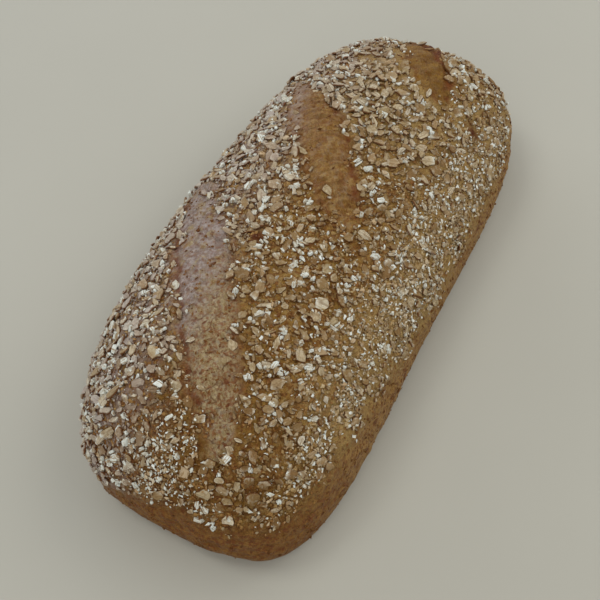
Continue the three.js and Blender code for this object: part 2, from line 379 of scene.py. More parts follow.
def new_piece(name, vertices, faces, attributes, sharp_degrees):
    """A mesh piece in metres from points in millimetres, with point attributes, and smooth up to an edge
    angle."""
    mesh = bpy.data.meshes.new(name)
    mesh.from_pydata((vertices * MM).tolist(), [], faces)
    for label, values in attributes.items():
        layer = mesh.attributes.new(label, "FLOAT", "POINT")
        layer.data.foreach_set("value", np.ascontiguousarray(values, dtype=np.float32).reshape(-1))
    mesh.shade_smooth()
    mesh.set_sharp_from_angle(angle=np.radians(sharp_degrees))
    mesh.update()
    piece = bpy.data.objects.new(name, mesh)
    bpy.context.scene.collection.objects.link(piece)
    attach(piece, "root")
    return piece


def crust_piece(points, masks):
    """The crust: quads between neighbouring rings, and a fan of triangles to the point at each end."""
    rows, around = points.shape[:2]
    ring = np.arange(around)
    after = np.roll(ring, -1)
    start = 1 + around * np.arange(rows - 3)[:, None]
    corners = [start + ring, start + after, start + around + after, start + around + ring]
    quads = np.stack(corners, axis=-1)
    last = 1 + around * (rows - 3)
    tip = 1 + around * (rows - 2)
    near_fan = np.stack([np.zeros_like(ring), 1 + after, 1 + ring], axis=-1)
    far_fan = np.stack([np.full_like(ring, tip), last + ring, last + after], axis=-1)
    faces = quads.reshape(-1, 4).tolist() + near_fan.tolist() + far_fan.tolist()

    def flat(field):
        """A field of the grid as one row, with one value for each end."""
        return np.concatenate([field[0, :1], field[1:-1].reshape(-1), field[-1, :1]])

    vertices = np.stack([flat(points[..., i]) for i in range(3)], axis=-1)
    marks = {label: flat(mask) for label, mask in masks.items()}
    return new_piece("crust", vertices, faces, marks, CRUST_ANGLE)


# What sticks to the crust, kind by kind, with lengths in millimetres. Where it lies: how many are drawn, how
# strongly they clump and the seed of the clumps, the share left on bare crust, gains on the left and right
# sides, and patches of x, y, spread and gain. What it is like: usual size, how much sizes vary, their limits,
# shares of width and thickness, how uneven corners are, range of lift off the crust, and tilt in radians.
# A flake draws its values in the order given here
FLAKES = dict(
    seed=11, count=5600, clumping=0.3, clump_seed=41, bare=0.0, left=0.35, right=-0.7,
    patches=[(64, 1, 28, 1.5), (-112, 24, 24, -0.4), (-128, -4, 21, -0.85), (-10, -20, 12, -0.6),
             (82, -33, 10, -0.6), (-112, -20, 9, -0.4), (-118, -36, 16, -0.45)],
    size=4.5, variety=0.31, limits=(2.5, 8.6), thickening=0.0,
    draws=dict(width=("uniform", 0.36, 0.8), thickness=("uniform", 0.8, 1.3),
               curl=("normal", -0.04, 0.06), fold=("normal", 0.0, 0.08)),
    # The flare sets the flakes' dark walls out beyond their tops, so they show from above as a line of painted
    # contact shade
    lift=(-0.6, 0.4), tilt=0.25, sectors=10, squareness=(0.1, 0.9), flare=1.07)
CRUMBS = dict(
    seed=12, count=5600, clumping=0.3, clump_seed=42, bare=0.0, left=0.2, right=1.0,
    patches=[(-130, -8, 17, 0.4), (-10, -20, 12, -0.4), (82, -33, 10, -0.5), (-112, -20, 9, -0.5)],
    size=1.8, variety=0.34, limits=(0.9, 3.4), thickening=0.5,
    draws=dict(width=("uniform", 0.4, 0.8), thickness=("uniform", 0.4, 0.75), curl=("normal", 0.0, 0.08)),
    lift=(-0.3, 0.35), tilt=0.3, sectors=5, squareness=(0.1, 0.9), flare=0.92)
SPECKS = dict(
    seed=15, count=14000, clumping=0.35, clump_seed=49, bare=0.12, left=0.0, right=0.2,
    patches=[(-26, 4, 24, 0.5), (-118, -16, 20, 0.6), (70, -6, 36, -0.6)],
    size=1.35, variety=0.35, limits=(0.6, 2.8), width=(0.45, 0.9), thickness=(0.3, 0.5),
    unevenness=0.35, lift=(0.0, 0.25), tilt=0.3)
WHITE_SPREAD = dict(
    bare=0.0, left=0.9, right=-0.1,
    patches=[(-26, 4, 24, 0.35), (64, 1, 28, 0.6), (-10, -20, 12, -0.5), (82, -33, 10, -0.6),
             (-126, -10, 26, -0.7), (-120, -40, 17, -0.7), (-112, 4, 10, -0.4)])
CHIPS = dict(
    WHITE_SPREAD, count=450, clumping=0.4, clump_seed=43, size=1.9, variety=0.36, limits=(0.9, 4.0),
    width=(0.28, 0.75), thickness=(0.3, 0.5), smaller_right=0.3, unevenness=0.36, sunk=0.15, lift=(0.0, 0.7),
    tilt=0.4)
CHIP_GROUPS = dict(WHITE_SPREAD, count=30, clumping=0.5, clump_seed=44, each=3, scatter=1.6)
WHITE_FLAKES = dict(
    WHITE_SPREAD, count=540, clumping=0.4, clump_seed=48, size=2.8, variety=0.33, limits=(1.4, 5.6),
    smaller_right=0.35, thickening=0.0,
    draws=dict(width=("uniform", 0.45, 0.85), curl=("normal", 0.0, 0.1), fold=("normal", 0.0, 0.14),
               thickness=("uniform", 0.8, 1.4)),
    lift=(0.0, 1.0), tilt=0.3, sectors=7, squareness=(0.6, 1.5), flare=0.92)
KERNELS = dict(
    count=50, clumping=0.5, clump_seed=45, bare=0.0, left=0.3, right=-0.85,
    patches=[(-26, 4, 24, 0.6), (64, 1, 28, 0.6), (-10, -20, 12, -0.5), (82, -33, 10, -0.6),
             (-126, -14, 28, -0.75)],
    slivers=3, pitch=(0.9, 1.4), offset=0.12, slide=0.4, turn=0.12, length=(2.2, 4.4), shorter=(0.5, 1.0),
    width=(0.85, 1.0), thickness=(0.7, 1.2), unevenness=0.35, lift=(0.4, 1.1), tilt=0.15)
MEAL = dict(
    seed=14, count=2300, clumping=0.45, clump_seed=46, bare=0.0, left=0.0, right=2.2,
    patches=[(-128, -5, 14, 6.0), (-110, 10, 9, -0.6), (-10, -20, 12, -0.5), (64, 1, 26, -0.4),
             (82, -33, 10, -0.5), (-121, -36, 12, -0.7)],
    size=1.55, variety=0.28, limits=(0.9, 2.7), width=(0.4, 0.75), thickness=(0.4, 0.65),
    unevenness=0.4, sunk=0.2, heaped=0.25, tilt=0.5)
MEAL_HEAPS = dict(MEAL, count=200, clumping=0.6, clump_seed=47, each=6, scatter=1.8)
DUST = dict(
    count=800, clumping=0.4, clump_seed=50, bare=0.0, left=0.0, right=1.5,
    patches=[(-127, -5, 13, 36.0), (70, -6, 36, -0.6)], finer=0.58)
WHEAT_SEED = 13

# How places are drawn: where bits may lie above the base, and the length of the clumps' waves
LIFTED_RUN = (4.0, 12.0)
CLUMP_LENGTH = 13.0

# How flakes lie: the least gap as a share of their size, how much closer they lie on the left and in a thick
# patch of x, y and reach, the gap below which one lies on another, the height of a layer and the most layers
CLOSENESS = 0.62
CLOSER_LEFT = 0.06
CLOSER_THICK = 0.18
THICK_PATCH = (64.0, 1.0, 30.0)
OVERLAP = 0.8
LAYER = 0.4
MOST_LAYERS = 3

# Tones from 0, dark, to 1, light: the power that darkens flakes and how much less it is on the left and in
# the thick patch, the tones of crumbs and how they even out on the right, and how specks are darker on bare
# crust and at the near end, and lighter on the right and at the far end
FLAKE_POWER = 1.5
LESS_LEFT = 0.68
LESS_THICK = 0.95
CRUMB_TONE = 0.8
CRUMB_EVENING = 0.5
CRUMB_RIGHT_TONE = 0.45
SPECK_DARKENING = 0.65
SPECK_NEAR_SHARE = 0.6
SPECK_RIGHT_TONE = 0.7
SPECK_FAR_TONE = 0.35

# The form of a flake, in shares of its half size: shift of its corners, depth and power of its notches, where
# it is snapped off and how slanting, its inner ring, the level of its rim, how rough and twisted its top is,
# and how far from the snapped end it is floury and what share of flakes is. Then the top of a chip
CORNER_SHIFT = 0.35
NOTCH_DEPTH = 0.4
NOTCH_POWER = 1.4
SNAP_RANGE = (0.25, 1.3)
SNAP_SLANT = 0.5
INNER_RING = 0.55
RIM_LEVEL = 0.8
TOP_ROUGHNESS = 0.13
TOP_TWIST = 0.4
FLOURY_RUN = (-0.45, 0.05)
FLOURY_SHARE = 0.3
CHIP_TOP = 0.8


def cell_corners(field):
    """The four corners of each cell of the ring grid, as four lists."""
    turned = np.roll(field, -1, axis=1)
    return np.stack([part.reshape(-1, 3) for part in (field[:-1], field[1:], turned[1:], turned[:-1])])


class Coat:
    """Draws random places on the crust for what sticks to it, more where a density says."""

    def __init__(self, points, normals):
        self.corners = cell_corners(points)
        self.normals = cell_corners(normals)
        self.middle = self.corners.mean(axis=0)
        crossed = np.cross(self.corners[2] - self.corners[0], self.corners[3] - self.corners[1])
        self.area = 0.5 * np.linalg.norm(crossed, axis=1)
        self.bare = bareness(self.middle)
        self.lifted = smoothstep(*LIFTED_RUN, self.middle[:, 2])

    def places(self, rng, kind):
        """Random places and normals: cells are drawn by area times density, then a point anywhere in the
        cell. The density has its own share on bare crust off the base, differs on the left and right sides,
        rises or falls in bell-shaped patches, and follows smooth noise where the bits lie in clumps."""
        density = 1.0 - self.bare + kind["bare"] * self.bare * self.lifted
        for label in SIDES:
            density = density * (1.0 + kind[label] * side(label, self.middle))
        for *spot, gain in kind["patches"]:
            density = density * (1.0 + gain * bell(self.middle, *spot))
        clumps = waves(self.middle, CLUMP_LENGTH, kind["clump_seed"])
        chance = self.area * np.maximum(density * np.exp(kind["clumping"] * clumps), 0.0)
        cell = rng.choice(len(chance), size=kind["count"], p=chance / chance.sum())
        s, t = rng.random((2, kind["count"], 1))
        weights = [(1 - s) * (1 - t), s * (1 - t), s * t, (1 - s) * t]
        place = sum(weight * self.corners[i, cell] for i, weight in enumerate(weights))
        normal = unit(sum(weight * self.normals[i, cell] for i, weight in enumerate(weights)))
        return place, normal


def spread_out(places, sizes, closeness):
    """Which places to keep so that no two are closer than a share of their mean size, in the order given,
    and how many of those kept before it each one lies on."""
    kept = np.empty(0, dtype=int)
    crowd = []
    for i, (place, size) in enumerate(zip(places, sizes)):
        gap = np.linalg.norm(places[kept] - place, axis=1) / (0.5 * (sizes[kept] + size))
        if np.all(gap > closeness[i]):
            kept = np.append(kept, i)
            crowd.append((gap < OVERLAP).sum())
    return kept, np.array(crowd)


def gathered(rng, kind, places, normals):
    """Each place repeated as a small group, shifted by random steps along the crust."""
    frames = laid_frames(rng, normals, 0.0)
    shift = kind["scatter"] * rng.normal(size=(len(places), kind["each"], 2))
    moved = places[:, None] + np.einsum("nek,nkj->nej", shift, frames[:, :2])
    return moved.reshape(-1, 3), np.repeat(normals, kind["each"], axis=0)


def laid_frames(rng, normals, tilt):
    """Three unit axes for each bit: any way round on the crust, tipped by a random angle of about tilt
    radians."""
    count = len(normals)
    first = unit(np.cross(normals, rng.normal(size=(count, 3))))
    second = np.cross(normals, first)
    lean = rng.normal(size=(count, 2)) * tilt
    up = unit(normals + lean[:, :1] * first + lean[:, 1:] * second)
    first = unit(first - (first * up).sum(1, keepdims=True) * up)
    return np.stack([first, np.cross(up, first), up], axis=1)


def lay(local, frames, places):
    """Local points of each bit, carried by its axes to its place."""
    return np.einsum("nvk,nkj->nvj", local, frames) + places[:, None, :]


def settled(rng, kind, local, place, normal, lift):
    """Local points of each bit, tipped, and lifted off the crust at its place."""
    return lay(local, laid_frames(rng, normal, kind["tilt"]), place + normal * lift[:, None])


def drawn_sizes(rng, kind, count):
    """Random sizes: the usual size times the exponential of a normal draw, within the kind's limits."""
    return np.clip(kind["size"] * np.exp(kind["variety"] * rng.normal(size=count)), *kind["limits"])


def three_sizes(rng, kind, size):
    """Length, width and thickness of each bit, the last two as random shares of its length."""
    count = len(size)
    shares = [np.ones(count), rng.uniform(*kind["width"], count), rng.uniform(*kind["thickness"], count)]
    return size[:, None] * np.stack(shares, axis=-1)


def new_bits(name, parts, sharp_degrees):
    """One piece of many bits. Each part has the points of its bits, the triangles of one bit, and values at
    the points, which are one a bit, one a corner or one a point."""
    vertices, faces, first = [], [], 0
    values = {label: [] for label in parts[0][2]}
    for points, triangles, marks in parts:
        count, each = points.shape[:2]
        copies = np.asarray(triangles)[None] + first + each * np.arange(count)[:, None, None]
        vertices.append(points.reshape(-1, 3))
        faces += copies.reshape(-1, 3).tolist()
        first += count * each
        for label, joined in values.items():
            joined.append(np.broadcast_to(marks[label], (count, each)).reshape(-1))
    values = {label: np.concatenate(joined) for label, joined in values.items()}
    return new_piece(name, np.concatenate(vertices), faces, values, sharp_degrees)


def plate_template(sectors):
    """Triangles of a plate: a fan on top, a band out to the rim, the wall down, and a fan below."""
    ring = np.arange(sectors)
    after = np.roll(ring, -1)
    inner, rim, under = 1, 1 + sectors, 1 + 2 * sectors
    below = 1 + 3 * sectors
    fans = [np.stack([0 * ring, inner + ring, inner + after], axis=-1)]
    for upper, lower in ((inner, rim), (rim, under)):
        fans.append(np.stack([upper + ring, lower + ring, lower + after], axis=-1))
        fans.append(np.stack([upper + ring, lower + after, upper + after], axis=-1))
    fans.append(np.stack([0 * ring + below, under + after, under + ring], axis=-1))
    return np.concatenate(fans)


def plates(rng, kind, length, width, thickness, curl, fold):
    """Flakes lying flat. Each outline lies between an almond and a rounded rectangle, a curve where the
    powers of both coordinates add to 1, with uneven corners, and many are snapped off straight at one end.
    The logarithm of the power is drawn between the kind's two values, and the higher it is, the squarer the
    outline. Below, the rim flares to a share of its size above. The top bends across the flake as a
    parabola, folds along it as a v, and twists. Points run from the middle of the top to an inner ring, the
    rim, the rim below, and the middle below. Also returns how near each point is to the rim, how floury it
    is, which it is towards the snapped end, and where it lies along and across the flake."""
    count, sectors = len(length), kind["sectors"]
    jitter = rng.uniform(-CORNER_SHIFT, CORNER_SHIFT, (count, sectors))
    jitter[:, [0, sectors // 2]] = 0.0
    turn = 2.0 * np.pi * (np.arange(sectors) + jitter) / sectors
    power = np.exp(rng.uniform(*kind["squareness"], (count, 1)))
    notches = NOTCH_DEPTH * rng.random((count, sectors)) ** NOTCH_POWER
    reach = np.hypot(*rounded(turn, power)) * (1.0 - notches)
    snap = rng.uniform(*SNAP_RANGE, (count, 1))
    slant = rng.uniform(-SNAP_SLANT, SNAP_SLANT, (count, 1))
    across = reach * np.sin(turn)
    rim = np.stack([np.minimum(reach * np.cos(turn), snap + slant * across), across], axis=-1)
    middle = np.zeros((count, 1, 2))
    flat = np.concatenate([middle, INNER_RING * rim, rim, kind["flare"] * rim, middle], axis=1)
    along, across = flat[..., 0], flat[..., 1]
    ring = np.ones(sectors)
    level = np.concatenate([[1.0], ring, RIM_LEVEL * ring, 0.0 * ring, [0.0]])
    rough = TOP_ROUGHNESS * rng.normal(size=along.shape) * (level > 0.5)
    twist = TOP_TWIST * rng.normal(size=(count, 1)) * along * across
    bend = curl[:, None] * across ** 2 + fold[:, None] * np.abs(across)
    up = thickness[:, None] * level + bend + twist + rough
    sized = np.stack([along * length[:, None] / 2, across * width[:, None] / 2, up], axis=-1)
    outer = np.concatenate([[0.0], 0.5 * ring, ring, 2.0 * ring, [2.0]])
    floury = smoothstep(*FLOURY_RUN, along - snap - slant * across)
    floury = floury * (rng.random((count, 1)) < FLOURY_SHARE)
    return sized, {"rim": outer, "floury": floury, "along": along, "across": across}


def laid_flakes(rng, kind, length, place, normal, raised=0.0):
    """Flakes of a kind at their places, as a part. Width goes with the length, and curl and fold with the
    width, by shares drawn in the kind's order. Thickness goes with a power of the length."""
    count = len(length)
    drawn = {label: getattr(rng, how)(*values, count) for label, (how, *values) in kind["draws"].items()}
    width = length * drawn["width"]
    thickness = drawn["thickness"] * length ** kind["thickening"]
    local, marks = plates(rng, kind, length, width, thickness,
                          width * drawn["curl"], width * drawn.get("fold", 0.0))
    lift = rng.uniform(*kind["lift"], count) + raised
    return settled(rng, kind, local, place, normal, lift), plate_template(kind["sectors"]), marks


def chip_template():
    """Corner directions and triangles of a block whose top is smaller than its foot."""
    square = np.array([(-1, -1), (1, -1), (1, 1), (-1, 1)], dtype=float)
    foot = np.column_stack([square, -np.ones(4)])
    top = np.column_stack([CHIP_TOP * square, np.ones(4)])
    faces = [(0, 2, 1), (0, 3, 2), (4, 5, 6), (4, 6, 7)]
    for i, j in ((0, 1), (1, 2), (2, 3), (3, 0)):
        faces += [(i, j, j + 4), (i, j + 4, i + 4)]
    return np.concatenate([foot, top]), faces


def grit_template():
    """Corner directions and triangles of an eight-faced solid."""
    corners = [(1, 0, 0), (-1, 0, 0), (0, 1, 0), (0, -1, 0), (0, 0, 1), (0, 0, -1)]
    faces = [(0, 2, 4), (2, 1, 4), (1, 3, 4), (3, 0, 4), (2, 0, 5), (1, 2, 5), (3, 1, 5), (0, 3, 5)]
    return np.array(corners, dtype=float), faces


def chips(rng, kind, corners, sizes):
    """Angular bits: the corners of a template, each shifted by its own random step, at three sizes."""
    shift = kind["unevenness"] * rng.uniform(-1.0, 1.0, (len(sizes), len(corners), 3))
    return (corners[None] + shift) * sizes[:, None, :] / 2.0


def bran_flakes(coat):
    """Large bran flakes, the largest laid first, lying on the crust and on each other."""
    rng = np.random.default_rng(FLAKES["seed"])
    length = np.sort(drawn_sizes(rng, FLAKES, FLAKES["count"]))[::-1]
    place, normal = coat.places(rng, FLAKES)
    thick = bell(place, *THICK_PATCH)
    closer = np.maximum(CLOSER_LEFT * side("left", place), CLOSER_THICK * thick)
    kept, crowd = spread_out(place, length, CLOSENESS - closer)
    place, thick, count = place[kept], thick[kept], len(kept)
    raised = LAYER * np.minimum(crowd, MOST_LAYERS)
    part = laid_flakes(rng, FLAKES, length[kept], place, normal[kept], raised)
    left = side("left", place)
    power = FLAKE_POWER - LESS_LEFT * left - LESS_THICK * thick + end("near", place) * (1.0 - left)
    part[2]["tone"] = (rng.random(count) ** power)[:, None]
    # Grey flour and painted sheen of window light on flakes on the left side, more on some than others
    part[2]["film"] = (left * rng.uniform(0.0, 1.0, count))[:, None]
    return new_bits("bran_flakes", [part], FLAKE_ANGLE)


def bran_crumbs(coat):
    """Small bran crumbs between the flakes."""
    rng = np.random.default_rng(CRUMBS["seed"])
    place, normal = coat.places(rng, CRUMBS)
    part = laid_flakes(rng, CRUMBS, drawn_sizes(rng, CRUMBS, len(place)), place, normal)
    right = side("right", place)
    tone = CRUMB_TONE * rng.random(len(place)) * (1.0 - CRUMB_EVENING * right) + CRUMB_RIGHT_TONE * right
    part[2]["tone"] = tone[:, None]
    # Grey flour and painted sheen of window light on crumbs on the left side
    part[2]["film"] = side("left", place)[:, None]
    return new_bits("bran_crumbs", [part], FLAKE_ANGLE)


def bran_specks(coat):
    """Fine bran baked into the crust between the flakes: flat eight-faced bits, half sunk."""
    rng = np.random.default_rng(SPECKS["seed"])
    place, normal = coat.places(rng, SPECKS)
    count = len(place)
    sizes = three_sizes(rng, SPECKS, drawn_sizes(rng, SPECKS, count))
    corners, triangles = grit_template()
    local = chips(rng, SPECKS, corners, sizes)
    points = settled(rng, SPECKS, local, place, normal, rng.uniform(*SPECKS["lift"], count))
    bare = bareness(place)
    darker = np.maximum(bare, SPECK_NEAR_SHARE * end("near", place))
    lighter = np.maximum(SPECK_RIGHT_TONE * side("right", place), SPECK_FAR_TONE * end("far", place))
    tone = rng.random(count) * (1.0 - SPECK_DARKENING * darker)
    tone = tone + lighter * (1.0 - tone) * (1.0 - bare)
    return new_bits("bran_specks", [(points, triangles, {"tone": tone[:, None]})], GRIT_ANGLE)


def white_chips(coat, rng):
    """Angular chips and slivers, single and in small groups."""
    spots = coat.places(rng, CHIPS), gathered(rng, CHIP_GROUPS, *coat.places(rng, CHIP_GROUPS))
    place, normal = map(np.concatenate, zip(*spots))
    count = len(place)
    size = drawn_sizes(rng, CHIPS, count) * (1.0 - CHIPS["smaller_right"] * side("right", place))
    sizes = three_sizes(rng, CHIPS, size)
    lift = CHIPS["sunk"] * size + rng.uniform(*CHIPS["lift"], count)
    corners, triangles = chip_template()
    points = settled(rng, CHIPS, chips(rng, CHIPS, corners, sizes), place, normal, lift)
    return points, triangles, {"along": corners[:, 0], "across": corners[:, 1]}


def white_flakes(coat, rng):
    """Broken pieces of flake that show their floury side."""
    place, normal = coat.places(rng, WHITE_FLAKES)
    smaller = 1.0 - WHITE_FLAKES["smaller_right"] * side("right", place)
    length = drawn_sizes(rng, WHITE_FLAKES, len(place)) * smaller
    return laid_flakes(rng, WHITE_FLAKES, length, place, normal)


def split_kernels(coat, rng):
    """Slivers side by side, where a kernel split along its length."""
    shape = KERNELS["count"], KERNELS["slivers"]
    one_each = KERNELS["count"], 1
    place, normal = coat.places(rng, KERNELS)
    frames = laid_frames(rng, normal, KERNELS["tilt"])
    pitch = rng.uniform(*KERNELS["pitch"], one_each)
    steps = np.arange(KERNELS["slivers"]) - (KERNELS["slivers"] - 1) / 2
    offset = steps * pitch + KERNELS["offset"] * rng.normal(size=shape)
    slide = KERNELS["slide"] * rng.normal(size=shape)
    place = place[:, None] + rng.uniform(*KERNELS["lift"], (*one_each, 1)) * normal[:, None]
    place = place + offset[..., None] * frames[:, None, 1] + slide[..., None] * frames[:, None, 0]
    sizes = np.stack([rng.uniform(*KERNELS["length"], one_each) * rng.uniform(*KERNELS["shorter"], shape),
                      pitch * rng.uniform(*KERNELS["width"], shape),
                      rng.uniform(*KERNELS["thickness"], shape)], axis=-1)
    corners, triangles = chip_template()
    local = chips(rng, KERNELS, corners, sizes.reshape(-1, 3))
    turn = KERNELS["turn"] * rng.normal(size=(len(local), 1))
    frames = np.repeat(frames, KERNELS["slivers"], axis=0)
    turned = np.stack([np.cos(turn) * frames[:, 0] + np.sin(turn) * frames[:, 1],
                       np.cos(turn) * frames[:, 1] - np.sin(turn) * frames[:, 0], frames[:, 2]], axis=1)
    points = lay(local, turned, place.reshape(-1, 3))
    return points, triangles, {"along": corners[:, 0], "across": corners[:, 1]}


def cracked_wheat(coat):
    """White broken wheat: chips, floury pieces of flake, and kernels split into slivers."""
    rng = np.random.default_rng(WHEAT_SEED)
    parts = [make(coat, rng) for make in (white_chips, white_flakes, split_kernels)]
    for points, _, marks in parts:
        marks["tone"] = rng.random((len(points), 1))
    return new_bits("cracked_wheat", parts, GRIT_ANGLE)


def wheat_meal(coat):
    """Fine floury grit between and on the flakes, loose and in small heaps, and finer dust."""
    rng = np.random.default_rng(MEAL["seed"])
    spots = (coat.places(rng, MEAL), gathered(rng, MEAL_HEAPS, *coat.places(rng, MEAL_HEAPS)),
             coat.places(rng, DUST))
    place, normal = map(np.concatenate, zip(*spots))
    count = len(place)
    finer = np.where(np.arange(count) < count - DUST["count"], 1.0, DUST["finer"])
    size = drawn_sizes(rng, MEAL, count) * finer
    sizes = three_sizes(rng, MEAL, size)
    lift = MEAL["sunk"] * size + rng.exponential(MEAL["heaped"], count)
    corners, triangles = grit_template()
    points = settled(rng, MEAL, chips(rng, MEAL, corners, sizes), place, normal, lift)
    return new_bits("wheat_meal", [(points, triangles, {"tone": rng.random((count, 1))})], GRIT_ANGLE)


def srgb(red, green, blue):
    """A colour seen on a screen, 0 to 255, as linear light."""
    share = np.array([red, green, blue]) / 255.0
    linear = np.where(share <= 0.04045, share / 12.92, ((share + 0.055) / 1.055) ** 2.4)
    return (*linear.tolist(), 1.0)


class Nodes:
    """Short ways to add nodes to a shader tree."""

    def __init__(self, tree):
        self.tree = tree

    def node(self, kind, inputs=None, output=0, **settings):
        """One output of a new node with its settings, and its inputs set to values or linked from sockets."""
        made = self.tree.nodes.new(kind)
        for key, value in settings.items():
            setattr(made, key, value)
        for key, value in (inputs or {}).items():
            if isinstance(value, bpy.types.NodeSocket):
                self.tree.links.new(value, made.inputs[key])
            else:
                made.inputs[key].default_value = value
        return made.outputs[output]

    def noise(self, vector, scale, detail, roughness=0.5, output=0):
        """Layered noise."""
        inputs = {"Vector": vector, "Scale": scale, "Detail": detail, "Roughness": roughness}
        return self.node("ShaderNodeTexNoise", inputs, output)

    def math(self, operation, *values):
        """The result of one sum."""
        return self.node("ShaderNodeMath", dict(enumerate(values)), operation=operation)

    def plus(self, first, second):
        """Two values added."""
        return self.math("ADD", first, second)

    def times(self, product, *values):
        """All the values multiplied in turn."""
        for value in values:
            product = self.math("MULTIPLY", product, value)
        return product

    def between(self, value, low, high):
        """A value from 0 to 1 carried to the range from low to high."""
        return self.node("ShaderNodeMapRange", {"Value": value, "To Min": low, "To Max": high})

    def above(self, value, low, high, **settings):
        """How far a value is on its way from low to high, from 0 to 1."""
        return self.node("ShaderNodeMapRange", {"Value": value, "From Min": low, "From Max": high}, **settings)


def new_group(name, values):
    """The nodes and inputs of an empty shader group, with a vector and those values as its inputs."""
    tree = bpy.data.node_groups.new(name, "ShaderNodeTree")
    tree.interface.new_socket("Vector", in_out="INPUT", socket_type="NodeSocketVector")
    for label, value in values.items():
        socket = tree.interface.new_socket(label, in_out="INPUT", socket_type="NodeSocketFloat")
        socket.default_value = value
    return Nodes(tree), tree.nodes.new("NodeGroupInput").outputs


def closed_group(nodes, value):
    """A shader group with one value as its output."""
    nodes.tree.interface.new_socket("Value", in_out="OUTPUT", socket_type="NodeSocketFloat")
    nodes.tree.links.new(value, nodes.tree.nodes.new("NodeGroupOutput").inputs["Value"])
    return nodes.tree


def mottle_group():
    """Cloudy patches: layered noise stretched between two levels to 0 and 1."""
    nodes, given = new_group("baked_mottle", {"Scale": 100.0, "Low": 0.4, "High": 0.6})
    noise = nodes.noise(given["Vector"], given["Scale"], 5.0, 0.6)
    spread = nodes.above(noise, given["Low"], given["High"], interpolation_type="SMOOTHSTEP")
    return closed_group(nodes, spread)


def fleck_group():
    """Scattered flecks: cells of random size, warped by noise, a share of them filled in out to their
    edge."""
    nodes, given = new_group("bran_flecks", {"Scale": 600.0, "Share": 0.3, "Size": 0.4})

    def vector(operation, inputs):
        """The result of one sum of vectors."""
        return nodes.node("ShaderNodeVectorMath", inputs, operation=operation)

    noise = nodes.noise(given["Vector"], given["Scale"], 3.0, 0.6, "Color")
    centred = vector("SUBTRACT", {0: noise, 1: (0.5, 0.5, 0.5)})
    step = vector("SCALE", {0: centred, "Scale": nodes.math("DIVIDE", 1.6, given["Scale"])})
    warped = vector("ADD", {0: given["Vector"], 1: step})
    cells = nodes.node("ShaderNodeTexVoronoi", {"Vector": warped, "Scale": given["Scale"]}, "Color")
    drawn = nodes.node("ShaderNodeSeparateColor", {"Color": cells}).node.outputs
    filled = nodes.math("LESS_THAN", drawn[0], given["Share"])
    outer = nodes.math("MULTIPLY_ADD", drawn[1], given["Size"], given["Size"])
    mask = nodes.above(cells.node.outputs["Distance"], outer, nodes.times(outer, 0.6))
    return closed_group(nodes, nodes.times(mask, filled))


MOTTLE = mottle_group()
FLECKS = fleck_group()
STREAK_LEVELS = (0.46, 0.62)
STREAK_JUMP = 97.0


class Finish(Nodes):
    """A new material with a Principled shader, and short ways to add the colours and patterns that feed it.
    Colours are sockets, or three numbers as a screen shows them."""

    def __init__(self, name, roughness, specular):
        self.material = bpy.data.materials.new(name)
        self.material.use_nodes = True
        super().__init__(self.material.node_tree)
        self.shader = self.tree.nodes["Principled BSDF"]
        self.shader.inputs["Roughness"].default_value = roughness
        self.shader.inputs["Specular IOR Level"].default_value = specular
        self.object = self.node("ShaderNodeTexCoord", output="Object")

    def attributes(self, *labels):
        """The piece's own values at each point."""
        return [self.node("ShaderNodeAttribute", output="Fac", attribute_name=label) for label in labels]

    def pattern(self, group, size_mm, **values):
        """A shared pattern at a size."""
        inputs = {"Vector": self.object, "Scale": 1.0 / (size_mm * MM), **values}
        return self.node("ShaderNodeGroup", inputs, node_tree=group)

    def mottle(self, size_mm, low, high):
        """Clouds that fade in between two levels of noise."""
        return self.pattern(MOTTLE, size_mm, Low=low, High=high)

    def flecks(self, size_mm, share, size):
        """Flecks in a share of the cells."""
        return self.pattern(FLECKS, size_mm, Share=share, Size=size)

    def streaks(self, along, across, start, along_pace, across_pace):
        """Streaks that run along a flake or cut: noise stretched along it, which starts anew with each
        start."""
        spot = self.node("ShaderNodeCombineXYZ", {
            "X": self.times(along, along_pace), "Y": self.times(across, across_pace),
            "Z": self.times(start, STREAK_JUMP)})
        return self.above(self.noise(spot, 1.0, 3.0), *STREAK_LEVELS)

    def creases(self, size_mm, width):
        """Thin curved lines where cloudy noise crosses its middle level."""
        noise = self.noise(self.object, 1.0 / (size_mm * MM), 2.0)
        return self.above(self.math("ABSOLUTE", self.plus(noise, -0.5)), width, 0.0)

    def painted(self, colour, *tints):
        """A colour that turns into tints, one after another, each by the product of its shares."""
        for tint, *shares in tints:
            pair = [srgb(*one) if isinstance(one, tuple) else one for one in (colour, tint)]
            inputs = {0: self.times(*shares), 6: pair[0], 7: pair[1]}
            colour = self.node("ShaderNodeMix", inputs, 2, data_type="RGBA")
        return colour

    def clouded(self, colour, clouds):
        """A colour with clouds over it in turn: size, two levels of noise, share and colour of each."""
        tints = [(tint, self.mottle(*levels), share) for *levels, share, tint in clouds]
        return self.painted(colour, *tints)

    def ramp(self, share, stops):
        """A colour that runs through stops of a position and a colour."""
        colour = self.node("ShaderNodeValToRGB", {0: share})
        elements = colour.node.color_ramp.elements
        while len(elements) < len(stops):
            elements.new(0.5)
        for element, (position, stop) in zip(elements, stops):
            element.position = position
            element.color = srgb(*stop)
        return colour

    def feed(self, label, socket):
        """Links a socket to an input of the shader."""
        self.tree.links.new(socket, self.shader.inputs[label])

    def bump(self, height, strength, distance_mm):
        """Fine relief from a height."""
        inputs = {"Height": height, "Strength": strength, "Distance": distance_mm * MM}
        self.feed("Normal", self.node("ShaderNodeBump", inputs))


